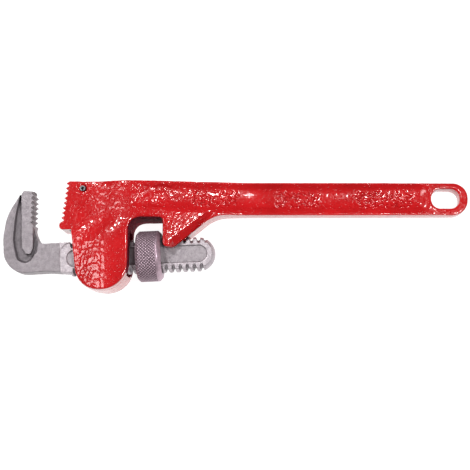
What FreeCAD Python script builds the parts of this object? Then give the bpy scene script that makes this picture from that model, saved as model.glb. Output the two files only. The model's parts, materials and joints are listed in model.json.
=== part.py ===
"""Straight pipe wrench, 300 mm size, as eight separate parts.

Frame: millimetres. The wrench lies on its side. +X runs along the handle towards the hanging
hole, +Y is the side that the jaws open to, +Z is up through the thickness. The origin is the
centre of the bounding box at its lowest face, so every part is drawn about the mid plane
z = half_thickness.

Two tilted frames are used as well:
  screw frame  origin at the nut's centre, x along the threaded shank, away from the hook
  heel frame   origin at the lowest tooth tip of the heel jaw, y up along the row of teeth
"""

import FreeCAD
import Part
import math
import os

os.makedirs("parts", exist_ok=True)
doc = FreeCAD.newDocument("pipe_wrench")

SIZES = {
    # whole wrench
    "half_thickness": 15.3,
    "end_x": 138.5,
    "top_y": 32.8,
    "lobe_bottom_y": -32.8,
    # handle beam
    "beam_top_end_y": 31.8,
    "beam_bottom_y": 12.4,
    "beam_half_width": 6.2,
    "web_half_width": 3.0,
    "flange_height": 3.4,
    "end_radius": 9.2,
    "hang_hole_length": 16.4,
    "hang_hole_height": 11.6,
    "hang_hole_wall": 5.2,
    # head, housing lobe and lug
    "head_half_width": 10.2,
    "lobe_left_x": -97.2,
    "lobe_right_x": -62.2,
    "lobe_radius": 15.6,
    "window_top_y": 10.3,
    "lug_face_x": -42.3,
    "lug_tip_y": -7.2,
    "lug_half_width": 13.6,
    "lug_slope": 38.7,
    "lug_tip_length": 6.3,
    # screw frame
    "nut_x": -50.7,
    "nut_y": -11.45,
    "screw_tilt": 2.4,
    # thread
    "thread_radius": 10.3,
    "thread_depth": 2.0,
    "thread_pitch": 4.2,
    "thread_start": 45.0,
    "shank_length": 39.3,
    "shank_thickness": 11.6,
    "panel_half_height": 5.1,
    "panel_depth": 0.9,
    # nut
    "nut_radius": 15.2,
    "nut_length": 15.0,
    "nut_chamfer": 1.8,
    # hook jaw
    "forging_thickness": 12.6,
    "jaw_thickness": 13.8,
    "jaw_tooth_x": -68.7,
    "jaw_top_y": 42.4,
    "jaw_back_x": -86.97,
    "jaw_bottom_y": -7.3,
    "valley_depth": 2.4,
    "forging_end_x": -47.0,
    "tooth_pitch": 3.0,
    "tooth_depth": 1.9,
    "block_width": 7.3,
    "block_bottom_y": 3.6,
    "block_teeth_y": 20.4,
    # heel jaw
    "heel_x": -103.6,
    "heel_y": 6.1,
    "heel_tilt": 7.2,
    "heel_width": 20.3,
    "heel_plate": 5.5,
    "tongue_reach": 13.4,
    "tongue_width": 9.0,
    "tongue_bottom": 4.0,
    "fit_gap": 0.1,
    "pin_radius": 1.6,
    "pin_behind_plate": 4.6,
    "pin_height": 23.7,
    "pin_recess_margin": 0.9,
    # springs
    "leaf_thickness": 1.0,
    "leaf_width": 12.0,
    "coil_x": -29.5,
    "coil_radius": 3.4,
    "coil_wire": 1.1,
    "coil_pitch": 2.1,
    "channel_width": 13.4,
    "channel_top": 14.9,
    "pocket_top": 24.4,
}


def make_sheet():
    """Put every driving size in one spreadsheet, each under its own name."""
    table = doc.addObject("Spreadsheet::Sheet", "sizes")
    for row, (name, value) in enumerate(SIZES.items(), start=1):
        table.set("A%d" % row, name)
        table.set("B%d" % row, str(value))
        table.setAlias("B%d" % row, name)
    doc.recompute()
    return table


sheet = make_sheet()


def size(name):
    """A driving size, as the spreadsheet holds it."""
    return float(sheet.get(name))


# ---------------------------------------------------------------- frames

def screw_point(x, y):
    """A point of the screw frame, in the row frame."""
    turn = math.radians(size("screw_tilt"))
    return (size("nut_x") + x * math.cos(turn) - y * math.sin(turn),
            size("nut_y") + x * math.sin(turn) + y * math.cos(turn))


def heel_point(x, y):
    """A point of the heel frame, in the row frame."""
    turn = math.radians(-size("heel_tilt"))
    return (size("heel_x") + x * math.cos(turn) - y * math.sin(turn),
            size("heel_y") + x * math.sin(turn) + y * math.cos(turn))


def heel_y_at(x, row_y):
    """Height in the heel frame, at distance x behind the teeth, of a level line of the row frame."""
    turn = math.radians(size("heel_tilt"))
    return (row_y - size("heel_y") + x * math.sin(turn)) / math.cos(turn)


# ---------------------------------------------------------------- drawing helpers

def new_body(name, corner=None, tilt_name=None, tilt_sign=1):
    """A body on the mid plane; corner names the two sizes that place its origin."""
    body = doc.addObject("PartDesign::Body", name)
    body.Label = name
    tilt = tilt_sign * size(tilt_name) if tilt_name else 0.0
    body.Placement = FreeCAD.Placement(
        FreeCAD.Vector(0, 0, size("half_thickness")),
        FreeCAD.Rotation(FreeCAD.Vector(0, 0, 1), tilt))
    body.setExpression("Placement.Base.z", "sizes.half_thickness")
    if corner:
        body.setExpression("Placement.Base.x", "sizes." + corner[0])
        body.setExpression("Placement.Base.y", "sizes." + corner[1])
    return body


def new_sketch(body, name, role="XY_Plane", offset=None):
    """A sketch on one of the body's own origin planes."""
    sketch = body.newObject("Sketcher::SketchObject", name)
    plane = [part for part in body.Origin.OriginFeatures if part.Role == role][0]
    sketch.AttachmentSupport = [(plane, "")]
    sketch.MapMode = "FlatFace"
    if offset is not None:
        sketch.AttachmentOffset = offset
    return sketch


def draw_path(sketch, corners):
    """Draw a closed path. A corner is (x, y) or (x, y, radius) for a rounded one."""
    points = [FreeCAD.Vector(c[0], c[1], 0) for c in corners]
    radii = [c[2] if len(c) > 2 else 0.0 for c in corners]
    starts = []
    ends = []
    arcs = []
    for i, point in enumerate(points):
        before = (points[i - 1] - point).normalize()
        after = (points[(i + 1) % len(points)] - point).normalize()
        if radii[i] <= 0:
            starts.append(point)
            ends.append(point)
            arcs.append(None)
            continue
        half_angle = before.getAngle(after) / 2.0
        reach = radii[i] / math.tan(half_angle)
        bisector = (before + after).normalize()
        centre = point + bisector * (radii[i] / math.sin(half_angle))
        starts.append(point + before * reach)
        ends.append(point + after * reach)
        arcs.append(centre - bisector * radii[i])
    for i in range(len(points)):
        if arcs[i] is not None:
            sketch.addGeometry(Part.Arc(starts[i], arcs[i], ends[i]))
        following = starts[(i + 1) % len(points)]
        if (following - ends[i]).Length > 1e-6:
            sketch.addGeometry(Part.LineSegment(ends[i], following))


def draw_circle(sketch, x, y, radius):
    """Draw one circle."""
    sketch.addGeometry(Part.Circle(FreeCAD.Vector(x, y, 0), FreeCAD.Vector(0, 0, 1), radius))


def pad(body, sketch, name, length):
    """Pad a sketch equally to both sides. length is an expression on the sheet."""
    feature = body.newObject("PartDesign::Pad", name)
    feature.Profile = sketch
    feature.Midplane = True
    feature.setExpression("Length", length)
    return feature


def pocket(body, sketch, name, length=None):
    """Cut a sketch out equally to both sides, or right through when no length is given."""
    feature = body.newObject("PartDesign::Pocket", name)
    feature.Profile = sketch
    feature.Midplane = True
    if length is None:
        feature.Length = 4 * size("end_x")
    else:
        feature.setExpression("Length", length)
    return feature


def revolve(body, sketch, name, kind="PartDesign::Revolution", axis="H_Axis"):
    """Turn a sketch all the way round one of its own axes."""
    feature = body.newObject(kind, name)
    feature.Profile = sketch
    feature.ReferenceAxis = (sketch, [axis])
    feature.Angle = 360
    return feature


def on_both_sides(body, name, role, corners, depth_from, depth):
    """Cut a shape out of both faces, from depth_from away from the mid plane and outwards."""
    for side, sign in (("upper", 1), ("lower", -1)):
        shift = FreeCAD.Placement(
            FreeCAD.Vector(0, 0, sign * (depth_from + depth / 2.0)), FreeCAD.Rotation())
        sketch = new_sketch(body, "%s_%s_sketch" % (name, side), role, shift)
        draw_path(sketch, corners)
        cut = body.newObject("PartDesign::Pocket", "%s_%s" % (name, side))
        cut.Profile = sketch
        cut.Midplane = True
        cut.Length = depth


# ---------------------------------------------------------------- handle

def plan_half_widths():
    """Half of the handle's thickness along X, as (x, half width) from the heel to the end."""
    return [
        (size("heel_x") - 10, size("head_half_width")),
        (size("lobe_left_x") + 4, size("head_half_width")),
        (size("lobe_right_x") - 15.5, size("half_thickness")),
        (size("lobe_right_x"), size("half_thickness")),
        (size("lug_face_x") - 2.7, size("lug_half_width")),
        (5.0, size("beam_half_width")),
        (size("end_x") + 10, size("beam_half_width") - 0.6),
    ]


def handle_outline():
    """The handle's side view: beam, lug, nut window, housing lobe and head."""
    lug_tip_right = size("lug_face_x") + size("lug_tip_length")
    rise = size("beam_bottom_y") - size("lug_tip_y")
    lug_root = lug_tip_right + rise / math.tan(math.radians(size("lug_slope")))
    head_top = heel_point(size("heel_plate"), heel_y_at(size("heel_plate"), size("top_y")))
    return [
        (head_top[0], head_top[1]),
        (size("end_x"), size("beam_top_end_y"), size("end_radius")),
        (size("end_x"), size("beam_bottom_y"), size("end_radius")),
        (lug_root, size("beam_bottom_y"), 20.0),
        (lug_tip_right, size("lug_tip_y"), 2.5),
        (size("lug_face_x"), size("lug_tip_y"), 2.8),
        (size("lug_face_x"), size("window_top_y"), 1.5),
        (size("lobe_right_x"), size("window_top_y"), 7.0),
        (size("lobe_right_x"), size("lobe_bottom_y"), size("lobe_radius")),
        (size("lobe_left_x") + 4.2, size("lobe_bottom_y"), size("lobe_radius") - 0.4),
        (size("lobe_left_x"), 3.0, 1.0),
    ]


def cut_plan(body):
    """Trim both side faces so that the casting is thick at the housing and slim at the beam."""
    outside = size("half_thickness") + 5.0
    profile = plan_half_widths()
    sketch = new_sketch(body, "plan_sketch", "XZ_Plane")
    for side in (1, -1):
        edge = [(x, side * half) for x, half in profile]
        far_edge = [(profile[-1][0], side * outside), (profile[0][0], side * outside)]
        draw_path(sketch, edge + far_edge)
    pocket(body, sketch, "plan_cut")


def cut_web(body):
    """Sink the web between the two flanges of the beam, with a ramp at each end."""
    outside = size("half_thickness") + 5.0
    web_right = size("end_x") - size("hang_hole_wall") - size("hang_hole_length") - 2.6
    low = size("beam_bottom_y") + size("flange_height") + 0.9
    high = size("beam_top_end_y") - size("flange_height") + 1.2
    floor = [
        (size("lobe_right_x") - 3.0, size("half_thickness") + 0.6),
        (size("lug_face_x") + 12.0, size("lug_half_width") - 4.6),
        (12.0, size("web_half_width")),
        (web_right - 3.0, size("web_half_width")),
        (web_right, size("beam_half_width") + 0.6),
    ]
    middle = (low + high) / 2.0
    shift = FreeCAD.Placement(FreeCAD.Vector(0, 0, -middle), FreeCAD.Rotation())
    sketch = new_sketch(body, "web_sketch", "XZ_Plane", shift)
    for side in (1, -1):
        edge = [(x, side * half) for x, half in floor]
        far_edge = [(floor[-1][0], side * outside), (floor[0][0], side * outside)]
        draw_path(sketch, edge + far_edge)
    cut = pocket(body, sketch, "web_cut")
    cut.Length = high - low


def cut_hang_hole(body):
    """The oblong hole at the end of the handle."""
    right = size("end_x") - size("hang_hole_wall")
    left = right - size("hang_hole_length")
    middle = (size("beam_top_end_y") + size("beam_bottom_y")) / 2.0 + 0.2
    low = middle - size("hang_hole_height") / 2.0
    high = middle + size("hang_hole_height") / 2.0
    round_off = 0.46 * size("hang_hole_height")
    sketch = new_sketch(body, "hang_hole_sketch")
    draw_path(sketch, [(left, low, round_off), (right, low, round_off),
                       (right, high, round_off), (left, high, round_off)])
    pocket(body, sketch, "hang_hole")


def cut_channel(body):
    """The channel that the shank slides and rocks in, with the slot that splits the lug."""
    low = -size("thread_radius") - 1.1
    lug_top = size("thread_radius") + 0.6
    window = size("lobe_right_x") - size("nut_x") + 3.0
    corners = [(-60.0, low), (30.0, low), (30.0, lug_top), (window, lug_top),
               (window, size("channel_top")), (-60.0, size("channel_top"))]
    sketch = new_sketch(body, "channel_sketch")
    draw_path(sketch, [screw_point(x, y) for x, y in corners])
    pocket(body, sketch, "channel", "sizes.channel_width")


def cut_spring_pocket(body):
    """The blind round pocket in the channel's roof that holds the coil spring."""
    foot = screw_point(size("coil_x"), 0)
    shift = FreeCAD.Placement(
        FreeCAD.Vector(foot[0], foot[1], 0),
        FreeCAD.Rotation(FreeCAD.Vector(0, 0, 1), size("screw_tilt")))
    sketch = new_sketch(body, "spring_pocket_sketch", "XY_Plane", shift)
    radius = size("coil_radius") + size("coil_wire") / 2.0 + 0.5
    bottom = size("channel_top") - 1.0
    draw_path(sketch, [(0, bottom), (radius, bottom), (radius, size("pocket_top")),
                       (0, size("pocket_top"))])
    revolve(body, sketch, "spring_pocket", "PartDesign::Groove", "V_Axis")


def heel_pin_place():
    """Centre of the heel jaw's cross pin, in the heel frame."""
    return (size("heel_plate") + size("pin_behind_plate"), size("pin_height"))


def cut_heel_slot(body):
    """The slot for the heel jaw's tongue and the hole for its cross pin."""
    gap = size("fit_gap")
    front = size("heel_plate") - 4.0
    reach = size("tongue_reach") + gap
    bottom = size("tongue_bottom") - gap
    above = size("top_y") + 4.0
    corners = [(front, bottom), (reach, bottom, 1.0),
               (reach, heel_y_at(reach, above)), (front, heel_y_at(front, above))]
    sketch = new_sketch(body, "heel_slot_sketch")
    draw_path(sketch, [heel_point(c[0], c[1]) + tuple(c[2:]) for c in corners])
    pocket(body, sketch, "heel_slot", "sizes.tongue_width + sizes.fit_gap")
    pin = heel_point(*heel_pin_place())
    hole = new_sketch(body, "heel_pin_hole_sketch")
    draw_circle(hole, pin[0], pin[1], size("pin_radius") + 0.01)
    pocket(body, hole, "heel_pin_hole")


def cut_pin_recess(body):
    """The shallow round recess around each end of the cross pin."""
    pin = heel_point(*heel_pin_place())
    depth = 6.0
    middle = size("head_half_width") + 0.1 + depth / 2.0
    for side, sign in (("upper", 1), ("lower", -1)):
        shift = FreeCAD.Placement(FreeCAD.Vector(0, 0, sign * middle), FreeCAD.Rotation())
        sketch = new_sketch(body, "pin_recess_%s_sketch" % side, "XY_Plane", shift)
        draw_circle(sketch, pin[0], pin[1], size("pin_radius") + size("pin_recess_margin"))
        cut = body.newObject("PartDesign::Pocket", "pin_recess_%s" % side)
        cut.Profile = sketch
        cut.Midplane = True
        cut.Length = depth


def make_handle():
    """The one-piece casting: beam, hanging hole, lug, housing and head."""
    body = new_body("handle")
    sketch = new_sketch(body, "handle_sketch")
    draw_path(sketch, handle_outline())
    pad(body, sketch, "handle_pad", "2 * sizes.half_thickness")
    cut_plan(body)
    cut_web(body)
    cut_hang_hole(body)
    cut_channel(body)
    cut_spring_pocket(body)
    cut_heel_slot(body)
    cut_pin_recess(body)
    return body


# ---------------------------------------------------------------- jaws

def cut_teeth(body, name, count, tip_x, first_y, depth, lean=0.0, facing=1):
    """Cut V grooves into a jaw face. facing is +1 when the teeth point along +x."""
    half = 0.46 * size("tooth_pitch")
    sketch = new_sketch(body, name + "_sketch")
    for i in range(count):
        y = first_y + i * size("tooth_pitch")
        x = tip_x + (y - first_y) * math.tan(math.radians(lean))
        draw_path(sketch, [(x + facing * 0.5, y - half * 1.25), (x + facing * 0.5, y + half * 1.25),
                           (x - facing * depth, y + half * 0.2)])
    pocket(body, sketch, name)


def make_heel_jaw():
    """Toothed plate with a nose at its lower end and a tongue that is pinned in the head."""
    body = new_body("heel_jaw", ("heel_x", "heel_y"), "heel_tilt", -1)
    back = size("heel_plate") - size("fit_gap") / 2.0
    nose_low = size("heel_y") - 2.8
    top = size("top_y") - size("fit_gap")
    plate = new_sketch(body, "plate_sketch")
    draw_path(plate, [(-0.6, heel_y_at(0, nose_low), 2.2),
                      (back, heel_y_at(back, nose_low) + 0.2, 0.8),
                      (back, heel_y_at(back, top)),
                      (0.0, heel_y_at(0, top), 0.6),
                      (0.0, 1.6, 0.4),
                      (-0.6, 0.9, 0.6)])
    pad(body, plate, "plate", "sizes.heel_width")
    tongue = new_sketch(body, "tongue_sketch")
    front = back - 2.0
    reach = size("tongue_reach")
    bottom = size("tongue_bottom")
    draw_path(tongue, [(front, bottom), (reach, bottom, 1.0), (reach, heel_y_at(reach, top)),
                       (front, heel_y_at(front, top))])
    pad(body, tongue, "tongue", "sizes.tongue_width")
    hole = new_sketch(body, "pin_hole_sketch")
    draw_circle(hole, heel_pin_place()[0], heel_pin_place()[1], size("pin_radius") + 0.01)
    pocket(body, hole, "pin_hole")
    cut_teeth(body, "teeth", 9, 0.0, 2.9, size("tooth_depth"), facing=-1)
    return body


def make_heel_jaw_pin():
    """Slotted spring pin, driven across the head through the heel jaw's tongue."""
    body = new_body("heel_jaw_pin")
    place = heel_point(*heel_pin_place())
    ring = new_sketch(body, "pin_sketch")
    draw_circle(ring, place[0], place[1], size("pin_radius"))
    draw_circle(ring, place[0], place[1], 0.6 * size("pin_radius"))
    pad(body, ring, "pin_pad", "2 * sizes.head_half_width")
    slit = new_sketch(body, "slit_sketch")
    draw_path(slit, [(place[0] - 0.3, place[1] - 3.0), (place[0] + 0.3, place[1] - 3.0),
                     (place[0] + 0.3, place[1]), (place[0] - 0.3, place[1])])
    pocket(body, slit, "slit")
    return body


def hook_outline():
    """The forged part of the hook jaw in the screw frame: head, back and plain shank."""
    lean = math.tan(math.radians(size("screw_tilt")))
    tooth = size("jaw_tooth_x")
    top = size("jaw_top_y")
    back = size("jaw_back_x")
    low = size("jaw_bottom_y")
    end = size("forging_end_x")
    root = size("thread_radius") - 0.4
    return [
        (tooth + lean * (top - 20.0) - 0.2, top - 0.6, 0.8),
        (tooth - 6.2, top + 0.4, 1.6),
        (back + 2.2, top - 14.5, 30.0),
        (back - 0.4, 15.0, 26.0),
        (back - 0.2, 1.5, 14.0),
        (back + 6.6, low - 0.4, 12.0),
        (tooth + 8.0, low, 8.0),
        (end, -root + 1.2),
        (end, root),
        (tooth + 3.2, root - 0.3, 4.6),
        (tooth + 0.5, root + 6.4, 5.0),
        (tooth - 0.2, 20.2, 1.0),
    ]


def add_forging(body):
    """The flat forged body of the hook jaw, with the valley between its rim and tooth block."""
    sketch = new_sketch(body, "forging_sketch")
    draw_path(sketch, hook_outline())
    pad(body, sketch, "forging", "sizes.forging_thickness")
    tooth = size("jaw_tooth_x")
    top = size("jaw_top_y")
    back = size("jaw_back_x")
    valley = [(tooth - 6.6, top + 4.0), (tooth + 3.0, top + 4.0), (tooth + 3.0, 15.0),
              (tooth + 1.6, 4.6, 3.0), (tooth - 4.0, -1.4, 4.2), (back + 8.4, -0.4, 4.8),
              (back + 5.8, 12.0, 20.0), (back + 7.4, top - 16.0, 24.0)]
    floor = size("forging_thickness") / 2.0 - size("valley_depth")
    on_both_sides(body, "valley", "XY_Plane", valley, floor, 6.0)


def add_tooth_block(body):
    """The raised block that carries the teeth; its lower end is bevelled to a blunt point."""
    lean = math.tan(math.radians(size("screw_tilt")))
    tooth = size("jaw_tooth_x")
    top = size("jaw_top_y")
    left = tooth - size("block_width")
    bottom = size("block_bottom_y")
    teeth = size("block_teeth_y")
    sketch = new_sketch(body, "block_sketch")
    draw_path(sketch, [(tooth + lean * (top - teeth), top - 1.0, 0.8), (left + 1.6, top - 0.2, 1.0),
                       (left, top - 2.6, 1.0), (left, bottom + 3.8, 0.8),
                       (left + 2.3, bottom, 0.8), (tooth - 2.0, bottom, 0.8),
                       (tooth - 0.4, bottom + 3.8, 0.8), (tooth - 0.4, teeth - 0.8, 0.5),
                       (tooth, teeth, 0.5)])
    pad(body, sketch, "tooth_block", "sizes.jaw_thickness")
    cut_teeth(body, "teeth", 7, tooth + 0.05, teeth + 2.0, size("tooth_depth"), size("screw_tilt"))


def add_shank(body):
    """The turned shank with its rounded end, squeezed flat to the forging's thickness."""
    radius = size("thread_radius")
    start = size("forging_end_x") - 0.5
    sketch = new_sketch(body, "shank_sketch")
    draw_path(sketch, [(start, 0), (size("shank_length"), 0),
                       (size("shank_length"), radius, radius), (start, radius, 1.5)])
    revolve(body, sketch, "shank")
    whole = [(start - 2, -16.0), (60.0, -16.0), (60.0, 16.0), (start - 2, 16.0)]
    on_both_sides(body, "squeeze", "XY_Plane", whole, size("forging_thickness") / 2.0, 8.0)


def cut_flats(body):
    """Mill the shank flat on both sides, up to an arc where the forging begins."""
    arc_x = size("forging_end_x") - 6.6
    arc_end = size("forging_end_x") + 2.0
    corners = [(60.0, -16.0), (60.0, 16.0), (arc_end, 16.0), (arc_end, 9.9),
               (arc_x, 8.2, 7.0), (arc_x, -8.2, 7.0), (arc_end, -9.9), (arc_end, -16.0)]
    on_both_sides(body, "flat", "XY_Plane", corners, size("shank_thickness") / 2.0, 8.0)


def cut_side_panels(body):
    """The long sunk panel with round ends on each side of the shank."""
    half = size("panel_half_height")
    left = size("forging_end_x") - 2.5
    right = size("shank_length") - 4.7
    corners = [(left, -half, half), (right, -half, half),
               (right, half, half), (left, half, half)]
    floor = size("shank_thickness") / 2.0 - size("panel_depth")
    on_both_sides(body, "panel", "XY_Plane", corners, floor, 3.0)


def cut_thread(body, name, start, length, inner, outer, inner_width, outer_width):
    """Cut a right-hand helical groove about the x axis, from start over length."""
    sketch = new_sketch(body, name + "_sketch")
    draw_path(sketch, [(start - outer_width / 2.0, outer), (start + outer_width / 2.0, outer),
                       (start + inner_width / 2.0, inner), (start - inner_width / 2.0, inner)])
    helix = body.newObject("PartDesign::SubtractiveHelix", name)
    helix.Profile = sketch
    helix.ReferenceAxis = (sketch, ["H_Axis"])
    helix.Mode = 0
    helix.setExpression("Pitch", "sizes.thread_pitch")
    helix.Height = length
    return helix


def space_width(radius):
    """Width of the shank's thread groove at a radius."""
    depth_in = (size("thread_radius") - radius) / size("thread_depth")
    return size("thread_pitch") * (0.60 - 0.31 * depth_in)


def cut_shank_thread(body):
    """The coarse thread on the shank. A groove is centred on every whole pitch from start."""
    outer = size("thread_radius") + 0.3
    inner = size("thread_radius") - size("thread_depth")
    start = -round(size("thread_start") / size("thread_pitch")) * size("thread_pitch")
    length = size("shank_length") - start + 4.0
    cut_thread(body, "thread", start, length, inner, outer, space_width(inner),
               space_width(outer))


def make_hook_jaw():
    """Forged hook jaw with its threaded shank."""
    body = new_body("hook_jaw", ("nut_x", "nut_y"), "screw_tilt")
    add_shank(body)
    add_forging(body)
    cut_flats(body)
    add_tooth_block(body)
    cut_side_panels(body)
    cut_shank_thread(body)
    return body


# ---------------------------------------------------------------- nut

def make_adjusting_nut():
    """Thick round nut with chamfered ends and an internal thread that fits the shank."""
    body = new_body("adjusting_nut", ("nut_x", "nut_y"), "screw_tilt")
    half = size("nut_length") / 2.0
    chamfer = size("nut_chamfer")
    radial_gap = 0.3
    side_gap = 0.22
    bore = size("thread_radius") - size("thread_depth") + radial_gap
    rim = size("nut_radius")
    sketch = new_sketch(body, "nut_sketch")
    draw_path(sketch, [(-half, bore + 1.0), (-half + 1.0, bore), (half - 1.0, bore),
                       (half, bore + 1.0), (half, rim - chamfer), (half - chamfer, rim, 0.6),
                       (-half + chamfer, rim, 0.6), (-half, rim - chamfer)])
    revolve(body, sketch, "nut_ring")
    inner = bore - 0.4
    outer = size("thread_radius") + radial_gap
    pitch = size("thread_pitch")
    start = -(math.ceil(half / pitch) + 0.5) * pitch
    cut_thread(body, "thread", start, -2.0 * start, inner, outer,
               pitch - space_width(inner) + 2 * side_gap,
               pitch - space_width(outer) + 2 * side_gap)
    return body


# ---------------------------------------------------------------- springs

def leaf_bottom():
    """Height of the leaf's underside above the screw axis."""
    return size("thread_radius") + 0.1


def make_flat_spring():
    """Flat spring strip that lies on the crests of the shank inside the housing."""
    body = new_body("flat_spring", ("nut_x", "nut_y"), "screw_tilt")
    bottom = leaf_bottom()
    top = bottom + size("leaf_thickness")
    sketch = new_sketch(body, "leaf_sketch")
    draw_path(sketch, [(-45.0, bottom + 0.5, 0.3), (-42.0, bottom, 6.0), (-14.5, bottom, 0.3),
                       (-14.5, top, 0.3), (-42.0, top, 6.0), (-45.0, top + 0.5, 0.3)])
    pad(body, sketch, "leaf", "sizes.leaf_width")
    hole = new_sketch(body, "rivet_hole_sketch")
    cone = 2.3
    neck = 1.26
    draw_path(hole, [(0, bottom - 1.0), (cone, bottom - 1.0), (cone, bottom),
                     (neck, top - 0.2), (neck, top + 1.0), (0, top + 1.0)])
    hole.AttachmentOffset = FreeCAD.Placement(
        FreeCAD.Vector(size("coil_x"), 0, 0), FreeCAD.Rotation())
    revolve(body, hole, "rivet_hole", "PartDesign::Groove", "V_Axis")
    return body


def make_spring_rivet():
    """Rivet in the flat spring; its head keeps the coil spring's foot in place."""
    body = new_body("spring_rivet", ("nut_x", "nut_y"), "screw_tilt")
    bottom = leaf_bottom()
    top = bottom + size("leaf_thickness")
    sketch = new_sketch(body, "rivet_sketch")
    sketch.AttachmentOffset = FreeCAD.Placement(
        FreeCAD.Vector(size("coil_x"), 0, 0), FreeCAD.Rotation())
    draw_path(sketch, [(0, bottom + 0.05), (2.2, bottom + 0.05), (1.25, top - 0.2),
                       (1.25, top + 0.01), (2.3, top + 0.01), (2.0, top + 1.3, 0.4),
                       (0, top + 1.3)])
    revolve(body, sketch, "rivet", axis="V_Axis")
    return body


def make_coil_spring():
    """Coil spring between the flat spring and the end of its pocket."""
    body = new_body("coil_spring", ("nut_x", "nut_y"), "screw_tilt")
    foot = leaf_bottom() + size("leaf_thickness") + 0.05
    wire = size("coil_wire") / 2.0
    length = size("pocket_top") - 0.05 - foot
    sketch = new_sketch(body, "wire_sketch")
    sketch.AttachmentOffset = FreeCAD.Placement(
        FreeCAD.Vector(size("coil_x"), 0, 0), FreeCAD.Rotation())
    draw_circle(sketch, size("coil_radius"), foot + wire, wire)
    helix = body.newObject("PartDesign::AdditiveHelix", "coil")
    helix.Profile = sketch
    helix.ReferenceAxis = (sketch, ["V_Axis"])
    helix.Mode = 0
    helix.setExpression("Pitch", "sizes.coil_pitch")
    helix.Height = length - 2 * wire
    return body


# ---------------------------------------------------------------- build and export

def check(body):
    """Stop if any feature of a body failed or its solid is not sound."""
    for feature in body.Group:
        if "Invalid" in feature.State or "Error" in feature.State:
            raise RuntimeError("%s / %s failed" % (body.Label, feature.Name))
    shape = body.Shape
    if shape.isNull() or not shape.isValid() or len(shape.Solids) != 1:
        raise RuntimeError("%s has no single sound solid" % body.Label)


def main():
    """Build every part, check it and write its STEP file."""
    makers = (make_handle, make_heel_jaw, make_heel_jaw_pin, make_hook_jaw, make_adjusting_nut,
              make_flat_spring, make_spring_rivet, make_coil_spring)
    bodies = []
    for maker in makers:
        body = maker()
        doc.recompute()
        check(body)
        bodies.append(body)
    for body in bodies:
        body.Shape.exportStep("parts/%s.step" % body.Label)
        box = body.Shape.BoundBox
        print("%-14s volume %9.1f  x %7.2f %7.2f  y %7.2f %7.2f  z %6.2f %6.2f" % (
            body.Label, body.Shape.Volume, box.XMin, box.XMax, box.YMin, box.YMax,
            box.ZMin, box.ZMax))


main()
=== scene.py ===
"""Pipe wrench on a white table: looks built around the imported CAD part.

Metres, in the row frame: +X along the handle, +Y the side the jaws open to, +Z up.
The regions of a surface are in millimetres, each bound given as the (start, end) of a soft ramp.
"""

import bpy
import json
import math
import numpy as np
from mathutils import Matrix, Vector, noise


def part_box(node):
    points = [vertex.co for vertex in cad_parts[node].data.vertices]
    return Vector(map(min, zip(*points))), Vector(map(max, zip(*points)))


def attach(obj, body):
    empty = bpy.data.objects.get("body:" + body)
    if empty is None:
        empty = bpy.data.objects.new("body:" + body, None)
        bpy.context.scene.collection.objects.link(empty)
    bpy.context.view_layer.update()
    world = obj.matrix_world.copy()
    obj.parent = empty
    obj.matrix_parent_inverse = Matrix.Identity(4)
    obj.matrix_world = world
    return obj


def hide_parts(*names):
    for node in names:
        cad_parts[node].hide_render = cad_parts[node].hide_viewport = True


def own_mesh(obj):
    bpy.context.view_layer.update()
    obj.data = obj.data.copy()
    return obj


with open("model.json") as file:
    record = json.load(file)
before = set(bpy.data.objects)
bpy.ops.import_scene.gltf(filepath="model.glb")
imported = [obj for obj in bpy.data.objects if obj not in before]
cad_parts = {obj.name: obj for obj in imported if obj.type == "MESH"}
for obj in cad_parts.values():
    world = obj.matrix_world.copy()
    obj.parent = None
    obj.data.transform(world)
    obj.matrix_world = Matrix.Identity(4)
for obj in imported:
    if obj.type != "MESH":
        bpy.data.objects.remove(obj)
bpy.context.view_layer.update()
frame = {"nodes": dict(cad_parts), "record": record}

MM = 0.001
JOINTS = {joint["name"]: joint for joint in frame["record"]["behaviour"]["joints"]}
NUT_CENTRE = np.array(JOINTS["nut_turn"]["pos_m"])
SCREW_X = np.array(JOINTS["nut_turn"]["axis"]) / np.linalg.norm(JOINTS["nut_turn"]["axis"])
SCREW_Y = np.array([-SCREW_X[1], SCREW_X[0], 0.0])
MID_Z = NUT_CENTRE[2]
HALF_THICKNESS = MID_Z / MM


# ---------------------------------------------------------------- mesh tools

def node_box(name):
    """Lowest and highest corner of a CAD node, as arrays."""
    low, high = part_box(name)
    return np.array(low), np.array(high)


def points_of(obj):
    """The vertices of a mesh object, as an array."""
    found = np.zeros(len(obj.data.vertices) * 3)
    obj.data.vertices.foreach_get("co", found)
    return found.reshape(-1, 3)


def set_points(obj, points):
    """Put an array back as the vertices of a mesh object."""
    obj.data.vertices.foreach_set("co", np.ascontiguousarray(points, float).ravel())
    obj.data.update()


def normals_of(obj):
    """The vertex normals of a mesh object, as an array."""
    found = np.zeros(len(obj.data.vertices) * 3)
    obj.data.vertex_normals.foreach_get("vector", found)
    return found.reshape(-1, 3)


def apply_modifiers(obj):
    """Bake the modifiers of an object into its mesh."""
    depsgraph = bpy.context.evaluated_depsgraph_get()
    depsgraph.update()
    baked = bpy.data.meshes.new_from_object(obj.evaluated_get(depsgraph))
    obj.modifiers.clear()
    obj.data = baked


def solid_copy(node, name, voxel):
    """A new piece with the shape of a CAD node, on an even grid of small faces."""
    obj = bpy.data.objects.new(name, frame["nodes"][node].data.copy())
    bpy.context.scene.collection.objects.link(obj)
    weld = obj.modifiers.new("weld", "WELD")
    weld.merge_threshold = 0.00001
    remesh = obj.modifiers.new("remesh", "REMESH")
    remesh.mode = "VOXEL"
    remesh.voxel_size = voxel
    apply_modifiers(obj)
    return obj


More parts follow.
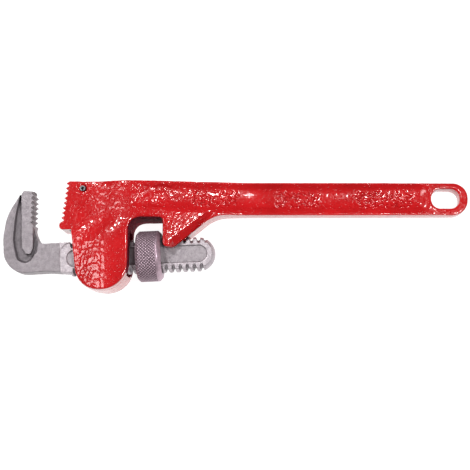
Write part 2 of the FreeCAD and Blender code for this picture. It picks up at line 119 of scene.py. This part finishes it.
def relax(obj, passes, weights=None):
    """Smooth a mesh, vertex by vertex as strongly as weights says."""
    group = obj.vertex_groups.new(name="relax")
    strength = np.ones(len(obj.data.vertices)) if weights is None else np.clip(weights, 0, 1)
    levels = np.round(strength * 10).astype(int)
    for level in range(1, 11):
        members = np.nonzero(levels == level)[0]
        if len(members):
            group.add(members.tolist(), level / 10.0, "REPLACE")
    smooth = obj.modifiers.new("smooth", "SMOOTH")
    smooth.factor = 0.5
    smooth.iterations = passes
    smooth.vertex_group = "relax"
    apply_modifiers(obj)
    obj.vertex_groups.clear()


def step(values, low, high):
    """Smooth ramp from 0 at low to 1 at high."""
    share = np.clip((values - low) / (high - low), 0, 1)
    return share * share * (3 - 2 * share)


def bumps(points, scale, seed):
    """Smooth noise at each point, about -1 to 1, with features of the given size."""
    shift = Vector((seed * 17.3, seed * 5.1, seed * 9.7))
    return np.array([noise.noise(Vector(p) / scale + shift) for p in points])


def band(values, begins, ends):
    """Smooth ramp up over begins and down again over ends."""
    return step(values, *begins) * (1 - step(values, *ends))


def store_shade(obj, values):
    """Keep a 0 to 1 value per vertex for the material to read as shade."""
    layer = obj.data.attributes.new("shade", "FLOAT", "POINT")
    layer.data.foreach_set("value", np.ascontiguousarray(values, float))


def finish_piece(obj, node, body, material):
    """Keep a piece within the box of its CAD node, and let it stand for that node."""
    low, high = node_box(node)
    set_points(obj, np.clip(points_of(obj), low, high))
    for face in obj.data.polygons:
        face.use_smooth = True
    obj.data.materials.clear()
    obj.data.materials.append(material)
    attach(obj, body)
    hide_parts(node)


def in_millimetres(obj):
    """x, y and the distance from the middle plane of every vertex, in millimetres."""
    points = points_of(obj) / MM
    return points[:, 0], points[:, 1], np.abs(points[:, 2] - HALF_THICKNESS)


def in_screw_frame(points):
    """Points seen from the nut, in millimetres: along the shank, across it, through the thickness."""
    local = (points - NUT_CENTRE) / MM
    return np.stack([local @ SCREW_X, local @ SCREW_Y, local[:, 2]], axis=1)


# ---------------------------------------------------------------- material tools

def new_material(name):
    """An empty node material with a Principled shader wired to its output."""
    material = bpy.data.materials.new(name)
    material.use_nodes = True
    tree = material.node_tree
    tree.nodes.clear()
    output = tree.nodes.new("ShaderNodeOutputMaterial")
    shader = tree.nodes.new("ShaderNodeBsdfPrincipled")
    tree.links.new(shader.outputs["BSDF"], output.inputs["Surface"])
    return material, tree, shader


def noise_node(tree, scale, detail=4.0, roughness=0.55):
    """A noise texture in object space. scale is in features per metre."""
    place = tree.nodes.new("ShaderNodeTexCoord")
    texture = tree.nodes.new("ShaderNodeTexNoise")
    texture.inputs["Scale"].default_value = scale
    texture.inputs["Detail"].default_value = detail
    texture.inputs["Roughness"].default_value = roughness
    tree.links.new(place.outputs["Object"], texture.inputs["Vector"])
    return texture.outputs["Fac"]


def ramp(tree, source, stops):
    """A colour ramp. stops are (position, colour)."""
    node = tree.nodes.new("ShaderNodeValToRGB")
    while len(node.color_ramp.elements) < len(stops):
        node.color_ramp.elements.new(0.5)
    for element, (position, colour) in zip(node.color_ramp.elements, stops):
        element.position = position
        element.color = (*colour, 1.0)
    tree.links.new(source, node.inputs["Fac"])
    return node.outputs["Color"]


def spread(tree, source, low, high, source_low=0.3, source_high=0.7):
    """Map a value from one range onto another."""
    node = tree.nodes.new("ShaderNodeMapRange")
    node.inputs["From Min"].default_value = source_low
    node.inputs["From Max"].default_value = source_high
    node.inputs["To Min"].default_value = low
    node.inputs["To Max"].default_value = high
    tree.links.new(source, node.inputs["Value"])
    return node.outputs["Result"]


def mix_colours(tree, factor, first, second):
    """Blend two colour sockets by a factor socket."""
    node = tree.nodes.new("ShaderNodeMix")
    node.data_type = "RGBA"
    tree.links.new(factor, node.inputs[0])
    tree.links.new(first, node.inputs[6])
    tree.links.new(second, node.inputs[7])
    return node.outputs[2]


def shade_layer(tree):
    """The value that store_shade kept on the mesh, or 0 where there is none."""
    node = tree.nodes.new("ShaderNodeAttribute")
    node.attribute_name = "shade"
    return node.outputs["Fac"]


def hollow_shade_factor(tree, distance, closed, open_sky):
    """0 where the surroundings hide a surface as much as closed says, 1 on an open surface; the mix
    factor that paints shade into hollows.
    """
    node = tree.nodes.new("ShaderNodeAmbientOcclusion")
    node.inputs["Distance"].default_value = distance
    node.samples = 8
    return spread(tree, node.outputs["AO"], 0.0, 1.0, closed, open_sky)


def add_bump(tree, shader, height, strength, distance):
    """Roughen a surface with a height socket."""
    node = tree.nodes.new("ShaderNodeBump")
    node.inputs["Strength"].default_value = strength
    node.inputs["Distance"].default_value = distance
    tree.links.new(height, node.inputs["Height"])
    tree.links.new(node.outputs["Normal"], shader.inputs["Normal"])


def enamel_material():
    """Glossy red enamel over a rough casting, with a scatter of fine grit under the paint and painted
    shade in its hollows and seams.
    """
    dull, bright = (0.52, 0.003, 0.005), (0.64, 0.006, 0.009)
    darkest_shaded_red, dark = (0.24, 0.001, 0.003), (0.36, 0.002, 0.005)
    material, tree, shader = new_material("red_enamel")
    broad = ramp(tree, noise_node(tree, 60.0), [(0.35, dull), (0.65, bright)])
    # Painted shade: a darker red mixed into the hollows and seams wherever the surroundings hide the
    # surface.
    shaded_red = ramp(tree, noise_node(tree, 300.0), [(0.3, darkest_shaded_red), (0.7, dark)])
    hollow_shade_mix = hollow_shade_factor(tree, 2.5 * MM, closed=0.2, open_sky=0.9)
    tree.links.new(mix_colours(tree, hollow_shade_mix, shaded_red, broad), shader.inputs["Base Color"])
    tree.links.new(spread(tree, noise_node(tree, 900.0), 0.14, 0.30), shader.inputs["Roughness"])
    shader.inputs["Specular IOR Level"].default_value = 0.4
    shader.inputs["Coat Weight"].default_value = 0.6
    shader.inputs["Coat Roughness"].default_value = 0.05
    grit = spread(tree, noise_node(tree, 700.0, 1.0), 0.0, 1.0, 0.60, 0.78)
    add_bump(tree, shader, grit, strength=0.7, distance=0.4 * MM)
    return material


def window_shade_material():
    """Dark, matt red as painted shade for the inside of the nut window and of the channel."""
    # Painted shade: these dark reds stand in for the shadow inside the window and the channel.
    shaded_red, pale = (0.10, 0.006, 0.015), (0.24, 0.010, 0.028)
    material, tree, shader = new_material("painted_window_shade")
    colour = ramp(tree, noise_node(tree, 250.0, 6.0), [(0.35, shaded_red), (0.65, pale)])
    tree.links.new(colour, shader.inputs["Base Color"])
    tree.links.new(spread(tree, noise_node(tree, 900.0), 0.7, 0.95), shader.inputs["Roughness"])
    shader.inputs["Specular IOR Level"].default_value = 0.1
    add_bump(tree, shader, noise_node(tree, 900.0), strength=0.6, distance=0.4 * MM)
    return material


def dimmed(colour, share):
    """A share of a colour's brightness."""
    return tuple(share * channel for channel in colour)


def steel_material(name, dark, light, roughness, grain):
    """Bare or blackened steel with fine grain, painted shade in its hollows, and a darker colour
    where the mesh's shade value is high.
    """
    material, tree, shader = new_material(name)
    broad = ramp(tree, noise_node(tree, 420.0, 8.0, 0.75), [(0.38, dark), (0.62, light)])
    # Painted shade: a much darker steel mixed into the hollows wherever the surroundings hide the
    # surface.
    hollow_shade_colour = ramp(tree, noise_node(tree, 900.0), [(0.3, dimmed(dark, 0.12)),
                                                (0.7, dimmed(dark, 0.30))])
    # Darker colour laid by the mesh's shade value: painted shade in sunk valleys and knurl grooves, a
    # darker forged finish elsewhere.
    scale = ramp(tree, noise_node(tree, 500.0, 6.0), [(0.35, dimmed(dark, 0.32)),
                                                      (0.65, dimmed(dark, 0.48))])
    forged = mix_colours(tree, shade_layer(tree), broad, scale)
    hollow_shade_mix = hollow_shade_factor(tree, 2.0 * MM, closed=0.45, open_sky=0.92)
    tree.links.new(mix_colours(tree, hollow_shade_mix, hollow_shade_colour, forged), shader.inputs["Base Color"])
    shader.inputs["Metallic"].default_value = 0.6
    tree.links.new(spread(tree, noise_node(tree, 1400.0), roughness - 0.08, roughness + 0.08),
                   shader.inputs["Roughness"])
    add_bump(tree, shader, noise_node(tree, 1500.0, 6.0, 0.7), grain, distance=0.25 * MM)
    return material


# ---------------------------------------------------------------- handle casting

# How far the heel jaw leans, and the x and y of a point on the line of its back
HEEL_TILT = math.radians(7.2)
HEEL_BACK = (-98.4, 3.4)
# How steeply the lug's lower edge rises, and the x and y where it starts
LUG_SLOPE = math.radians(38.7)
LUG_TIP = (-36.0, -7.2)
# Bounds in y of the sunk web's pebbly surface, and the stretches of x that have it
WEB_BOTTOM = (16.0, 18.0)
WEB_TOP = (26.0, 28.0)
WORN_STRETCHES = ((-26.0, 2.0), (24.0, 51.0), (71.0, 106.0))


def handle_half_width(x):
    """About half of the handle's thickness at each x."""
    places_and_widths = ((-110.0, 10.2), (-93.2, 10.2),
                         (-77.7, HALF_THICKNESS), (-62.2, HALF_THICKNESS),
                         (-45.0, 13.6), (5.0, 6.2), (148.5, 5.6))
    places, widths = zip(*places_and_widths)
    return np.interp(x, places, widths)


def eased_half_width(x):
    """The same thickness with its corners eased over 12 mm."""
    return np.mean([handle_half_width(x + shift) for shift in range(-6, 7, 2)], axis=0)


def worn_patches(x):
    """1 along the stretches of the web that have a worn, pebbly cast surface, 0 elsewhere."""
    fade = 2.0
    patches = [band(x, (first - fade, first + fade), (last - fade, last + fade))
               for first, last in WORN_STRETCHES]
    return np.max(patches, axis=0)


def soften_casting(obj):
    """Round off the outer edges, most at the housing, least next to the heel jaw and its pin."""
    x, y, out = in_millimetres(obj)
    thick = step(handle_half_width(x), 7.5, 11.0)
    rim = step(out, 7.4, 9.4) * thick
    heel_line = HEEL_BACK[0] + (y - HEEL_BACK[1]) * math.tan(HEEL_TILT)
    clear_of_heel = np.maximum(step(x - heel_line, 1.0, 4.0), 1 - step(y, -2.0, 2.0))
    pin_low, pin_high = node_box("heel_jaw_pin")
    pin_x, pin_y = (pin_low + pin_high)[:2] / 2 / MM
    clear_of_pin = step(np.hypot(x - pin_x, y - pin_y), 2.8, 4.5)
    web_corners = band(x, (-45.0, -25.0), (114.0, 116.5)) * band(y, (13.8, 15.2), (30.0, 31.2))
    relax(obj, passes=3)
    relax(obj, passes=34, weights=rim * clear_of_heel * clear_of_pin)
    relax(obj, passes=8, weights=0.8 * (1 - thick))
    relax(obj, passes=220, weights=web_corners)


def shape_head(obj):
    """Ease the head into the housing, and bevel the sloping edge of the lug."""
    points = points_of(obj)
    x, y, out = in_millimetres(obj)
    outer = step(out, 8.2, 9.4)
    # Above the shank the thin head reaches this much further into the housing
    reach = 12.0 * step(y, -4.0, 12.0)
    wanted = np.minimum(handle_half_width(x), eased_half_width(x - reach))
    eased = out * (1 + outer * (wanted / handle_half_width(x) - 1))
    from_edge = ((y - LUG_TIP[1]) * math.cos(LUG_SLOPE)
                 - (x - LUG_TIP[0]) * math.sin(LUG_SLOPE))
    on_slope = band(x, (-38.5, -35.5), (-14.0, -9.0))
    bevel_reach, bevel_limit, bevel_slope = 4.6, 3.6, 0.75
    bevel = bevel_slope * np.clip(bevel_reach - from_edge, 0, bevel_limit) * on_slope * outer
    side = np.sign(points[:, 2] - MID_Z)
    points[:, 2] = MID_Z + side * (eased - bevel) * MM
    set_points(obj, points)


def cast_skin(obj):
    """Height of the sand-cast bumps in mm, strongest on the housing's slope and at the web's ramp."""
    points = points_of(obj)
    x, y, out = in_millimetres(obj)
    beam_face = step(x, -30.0, 5.0) * step(out, 2.5, 3.0)
    outside = np.maximum(step(out, 7.6, 9.0), beam_face)
    slope_side = (1 - step(x, -80.0, -74.0)) * (1 - 0.7 * step(y, -2.0, 10.0))
    head = step(y, -4.0, 6.0) * (1 - step(x, -40.0, -20.0))
    lug = band(x, (-46.0, -42.0), (-30.0, -15.0))
    web_ramp = band(x, (-64.0, -60.0), (-40.0, -34.0)) * band(y, (16.0, 19.0), (25.0, 28.0))
    speckled = np.max([0.7 * head, 0.15 * lug, slope_side, web_ramp], axis=0)
    coarse = (0.06 + 0.07 * slope_side + 0.22 * web_ramp) * bumps(points, 3.0 * MM, 1)
    medium = (0.05 + 0.13 * speckled) * bumps(points, 1.4 * MM, 2)
    # The skin is set a little below the CAD surface, to make room for the bumps
    sunk = 0.12
    return (coarse + medium - sunk) * outside


def worn_relief(obj):
    """Height in mm of the pebbles in the web and of the specks along its upper edge."""
    points = points_of(obj)
    x, y, out = in_millimetres(obj)
    facing = np.abs(normals_of(obj)[:, 2])
    in_web = step(facing, 0.6, 0.9) * (1 - step(out - handle_half_width(x), -2.0, -1.2))
    pebbles = step(bumps(points, 1.6 * MM, 7), 0.05, 0.40) * worn_patches(x)
    pebbles = pebbles * band(y, WEB_BOTTOM, WEB_TOP) * in_web
    specks = step(bumps(points, 2.0 * MM, 8), 0.15, 0.40) * step(facing, 0.2, 0.6)
    specks = specks * band(y, (26.6, 28.0), (29.6, 31.0)) * (1 - step(x, -30.0, 0.0))
    pebble_height, speck_height = 0.95, 0.35
    return pebble_height * pebbles + speck_height * specks


def mark_shaded_faces(obj):
    """Mark the faces inside the nut window and the channel with the second material, the painted
    shade.
    """
    points = points_of(obj)
    y, out = in_millimetres(obj)[1:]
    along, across = in_screw_frame(points)[:, :2].T
    upright = np.abs(normals_of(obj)[:, 2]) < 0.5
    window_middle, window_half, window_bottom, window_top = -1.6, 11.6, -15.2, 12.0
    in_window = (np.abs(along - window_middle) < window_half) & upright
    in_window = in_window & (across > window_bottom) & (y < window_top)
    channel_half, channel_middle, channel_reach = 7.2, 2.0, 13.4
    in_channel = (out < channel_half) & (np.abs(across - channel_middle) < channel_reach)
    in_channel = in_channel & (along > -46.0) & (along < 12.0)
    shaded_inside = in_window | in_channel
    for face in obj.data.polygons:
        face.material_index = int(all(shaded_inside[i] for i in face.vertices))


def build_casting(material, shaded_inside):
    """The handle casting: rounded, bumpy and painted red, with painted shade inside the window and
    the channel.
    """
    obj = solid_copy("handle", "handle_casting", 0.5 * MM)
    soften_casting(obj)
    shape_head(obj)
    height = (cast_skin(obj) + worn_relief(obj)) * MM
    set_points(obj, points_of(obj) + normals_of(obj) * height[:, None])
    finish_piece(obj, "handle", "handle", material)
    obj.data.materials.append(shaded_inside)
    mark_shaded_faces(obj)


def build_heel_jaw(material):
    """The heel jaw, painted over with the casting, its back pushed into the head."""
    obj = solid_copy("heel_jaw", "heel_jaw_painted", 0.25 * MM)
    relax(obj, passes=3)
    points = points_of(obj)
    x, y, out = in_millimetres(obj)
    height = (0.08 * bumps(points, 2.6 * MM, 3) - 0.04) * MM
    low_x, low_y = node_box("heel_jaw")[0][:2] / MM
    behind = (x - low_x) * math.cos(HEEL_TILT) - (y - low_y) * math.sin(HEEL_TILT)
    seam_cover = 1.8
    into_head = seam_cover * step(behind, 4.6, 5.4) * step(out, 6.0, 8.0)
    points = points + normals_of(obj) * height[:, None]
    points[:, 0] += into_head * MM
    set_points(obj, points)
    finish_piece(obj, "heel_jaw", "handle", material)


# ---------------------------------------------------------------- hook jaw and nut

# Raised block that carries the teeth: just behind its back edge, and a point inside it
BLOCK_BACK = -76.2
BLOCK_INSIDE = (-72.5, 18.0)
# Line through the tips of the teeth: a point on it, and how far it leans along per unit across
TOOTH_TIP = (-68.6, 20.0)
TOOTH_LEAN = 0.042
# Just under half of the forging's thickness: what lies deeper counts as sunk
FORGING_HALF = 6.2


def soften_forging(obj, forged):
    """Round off the forged end, less on its raised block and hardly at all on the teeth."""
    along, across = in_screw_frame(points_of(obj))[:, :2].T
    tooth_line = TOOTH_TIP[0] + TOOTH_LEAN * (across - TOOTH_TIP[1])
    near_teeth = step(along - tooth_line, -3.4, -2.2) * step(across, 17.0, 19.0)
    off_block = step(np.maximum(BLOCK_BACK - along, 3.4 - across), 0.5, 2.0)
    relax(obj, passes=2)
    relax(obj, passes=10, weights=forged * (1 - near_teeth) * (0.25 + 0.75 * off_block))


def soften_valley(obj, forged):
    """Make the outer wall of the sunk valley round the block a soft slope."""
    along, across = in_screw_frame(points_of(obj))[:, :2].T
    normals = normals_of(obj)
    from_block = np.maximum(BLOCK_BACK - along, 3.2 - across)
    to_block = np.stack([BLOCK_INSIDE[0] - along, BLOCK_INSIDE[1] - across], axis=1)
    to_block = to_block / np.linalg.norm(to_block, axis=1)[:, None]
    inward = (normals @ SCREW_X) * to_block[:, 0] + (normals @ SCREW_Y) * to_block[:, 1]
    wall = step(from_block, 0.6, 1.6) * step(inward, -0.4, 0.1)
    relax(obj, passes=70, weights=forged * wall)


def shade_forging(obj):
    """Full painted shade on the sunk valley; a weaker darker forged finish on the forging, its back
    and the shank's panels.
    """
    along, across, through = in_screw_frame(points_of(obj)).T
    sunk = FORGING_HALF - np.abs(through)
    facing = step(np.abs(normals_of(obj)[:, 2]), 0.3, 0.7)
    in_forging = 1 - step(along, -60.0, -56.0)
    # Painted shade: the sunk valley round the block gets the darkest colour.
    valley_shade = step(sunk, 0.4, 2.2) * facing * in_forging
    panel = step(sunk, 0.6, 1.2) * facing * (np.abs(across) < 5.6)
    on_block = step(-sunk, 0.1, 0.5)
    back = 1 - step(along, -80.0, -76.0)
    forging = 0.60 + 0.12 * back * (1 - on_block)
    on_shank = along > -53.0
    store_shade(obj, np.maximum(valley_shade, np.where(on_shank, 0.45 * panel, forging)))


def build_hook_jaw(material):
    """The forged hook jaw: soft forging, crisp thread and teeth."""
    obj = solid_copy("hook_jaw", "hook_jaw_forged", 0.3 * MM)
    forged = 1 - step(in_screw_frame(points_of(obj))[:, 0], -52.0, -46.0)
    soften_forging(obj, forged)
    soften_valley(obj, forged)
    shade_forging(obj)
    points = points_of(obj)
    height = 0.09 * bumps(points, 3.2 * MM, 5) + 0.06 * bumps(points, 1.1 * MM, 6) - 0.07
    height = height * MM * (0.25 + 0.75 * forged)
    set_points(obj, points + normals_of(obj) * height[:, None])
    finish_piece(obj, "hook_jaw", "hook_jaw", material)


def knurl_depth(along, angle, radius, pitch):
    """Depth of a diamond knurl, 0 to 1: two crossing families of V grooves."""
    around = angle * radius
    turns = round(2 * math.pi * radius / (pitch * math.sqrt(2)))
    wave = 2 * math.pi * radius / turns
    first = np.abs(((around + along) / wave) % 1.0 - 0.5) * 2
    second = np.abs(((around - along) / wave) % 1.0 - 0.5) * 2
    return np.maximum(step(first, 0.55, 1.0), step(second, 0.55, 1.0))


def build_nut(material):
    """The adjusting nut with its diamond knurl cut into the rim."""
    obj = solid_copy("adjusting_nut", "adjusting_nut_knurled", 0.26 * MM)
    relax(obj, passes=2)
    points = points_of(obj)
    along, across, through = in_screw_frame(points).T
    radius = np.hypot(across, through)
    rim = radius.max()
    half = np.abs(along).max()
    on_rim = step(radius, rim - 1.9, rim - 1.5)
    between_ends = band(along, (0.1 - half, 0.4 - half), (half - 3.2, half - 2.6))
    knurl_pitch, knurl_cut = 1.35, 0.5
    angle = np.arctan2(through, across)
    cut = knurl_depth(along, angle, rim, knurl_pitch) * on_rim * between_ends
    # Painted shade: the knurl's grooves get the darker colour.
    store_shade(obj, cut)
    outward = np.outer(across / radius, SCREW_Y) + np.outer(through / radius, [0.0, 0.0, 1.0])
    set_points(obj, points - outward * (knurl_cut * MM * cut)[:, None])
    finish_piece(obj, "adjusting_nut", "adjusting_nut", material)


# ---------------------------------------------------------------- springs and pin

def build_coil_spring(material):
    """The coil spring, copied from its CAD node; it is not made to shorten as the jaw rocks."""
    obj = bpy.data.objects.new("coil_spring_wire", frame["nodes"]["coil_spring"].data.copy())
    bpy.context.scene.collection.objects.link(obj)
    finish_piece(obj, "coil_spring", "handle", material)
    along, across = in_screw_frame(points_of(obj))[:, :2].T * MM
    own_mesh(obj)


def dress_node(node, material):
    """Give a CAD node that is shown as it is its own material and soft edges."""
    obj = frame["nodes"][node]
    obj.data.materials.clear()
    obj.data.materials.append(material)
    edge = obj.modifiers.new("edge", "BEVEL")
    edge.width = 0.12 * MM
    edge.segments = 2
    edge.limit_method = "ANGLE"


# ---------------------------------------------------------------- stage

def build_table():
    """A plain white table top, just below the wrench."""
    deep_grey, pale_grey = (0.24, 0.24, 0.24), (0.28, 0.28, 0.28)
    bpy.ops.mesh.primitive_plane_add(size=6.0, location=(0, 0, -0.2 * MM))
    table = bpy.context.object
    table.name = "table_top"
    material, tree, shader = new_material("white_table")
    colour = ramp(tree, noise_node(tree, 8.0), [(0.3, deep_grey), (0.7, pale_grey)])
    tree.links.new(colour, shader.inputs["Base Color"])
    shader.inputs["Roughness"].default_value = 0.7
    shader.inputs["Emission Color"].default_value = (1.0, 1.0, 1.0, 1.0)
    shader.inputs["Emission Strength"].default_value = 0.95
    table.data.materials.append(material)


def add_light(name, place, size, power):
    """A soft square light aimed at the housing."""
    target = Vector((-0.03, 0.0, MID_Z))
    data = bpy.data.lights.new(name, "AREA")
    data.shape = "SQUARE"
    data.size = size
    data.energy = power
    light = bpy.data.objects.new(name, data)
    light.location = place
    light.rotation_euler = (target - Vector(place)).to_track_quat("-Z", "Y").to_euler()
    bpy.context.scene.collection.objects.link(light)


def build_lights():
    """Pale surroundings, with four lamps that make the highlights."""
    world = bpy.data.worlds.new("studio")
    world.use_nodes = True
    shade = world.node_tree.nodes["Background"]
    shade.inputs["Color"].default_value = (1.0, 1.0, 1.0, 1.0)
    shade.inputs["Strength"].default_value = 0.13
    bpy.context.scene.world = world
    add_light("key", (-0.36, 0.45, 0.75), size=0.11, power=3.2)
    add_light("side", (-0.60, -0.05, 0.75), size=0.32, power=2.5)
    add_light("right", (0.36, -0.10, 0.75), size=0.11, power=3.0)
    add_light("spark", (0.16, 0.09, 0.76), size=0.04, power=0.4)


def build_camera():
    """Look down on the wrench from a little below and to the right of its middle.

    The roll, the angle and the place come from points read in the photograph. The
    distance and the sideways offset are chosen, not fitted.
    """
    target = Vector((0.2, 1.5, 15.3)) * MM
    place = target + Vector((30.0, -101.6, 680.0)) * MM
    roll = math.radians(-0.31)
    data = bpy.data.cameras.new("view")
    data.sensor_fit = "HORIZONTAL"
    data.angle = math.radians(23.12)
    data.clip_start = 0.01
    camera = bpy.data.objects.new("view", data)
    look = (target - place).normalized()
    right = look.cross(Vector((math.sin(roll), math.cos(roll), 0))).normalized()
    up = right.cross(look)
    turn = Matrix((right, up, -look)).transposed().to_4x4()
    camera.matrix_world = Matrix.Translation(place) @ turn
    bpy.context.scene.collection.objects.link(camera)
    bpy.context.scene.camera = camera


def main():
    """Build every piece, the stage, the lights and the camera."""
    red = enamel_material()
    forged = steel_material("forged_steel", dark=(0.42, 0.37, 0.40), light=(0.64, 0.58, 0.61),
                            roughness=0.50, grain=0.45)
    dark = steel_material("dark_steel", dark=(0.42, 0.29, 0.35), light=(0.62, 0.45, 0.53),
                          roughness=0.40, grain=0.2)
    spring = steel_material("spring_steel", dark=(0.20, 0.20, 0.22), light=(0.34, 0.34, 0.36),
                            roughness=0.35, grain=0.15)
    build_casting(red, window_shade_material())
    build_heel_jaw(red)
    build_hook_jaw(forged)
    build_nut(dark)
    build_coil_spring(spring)
    for node in ("heel_jaw_pin", "flat_spring", "spring_rivet"):
        dress_node(node, spring)
    build_table()
    build_lights()
    build_camera()
    bpy.context.scene.view_settings.view_transform = "Standard"


main()
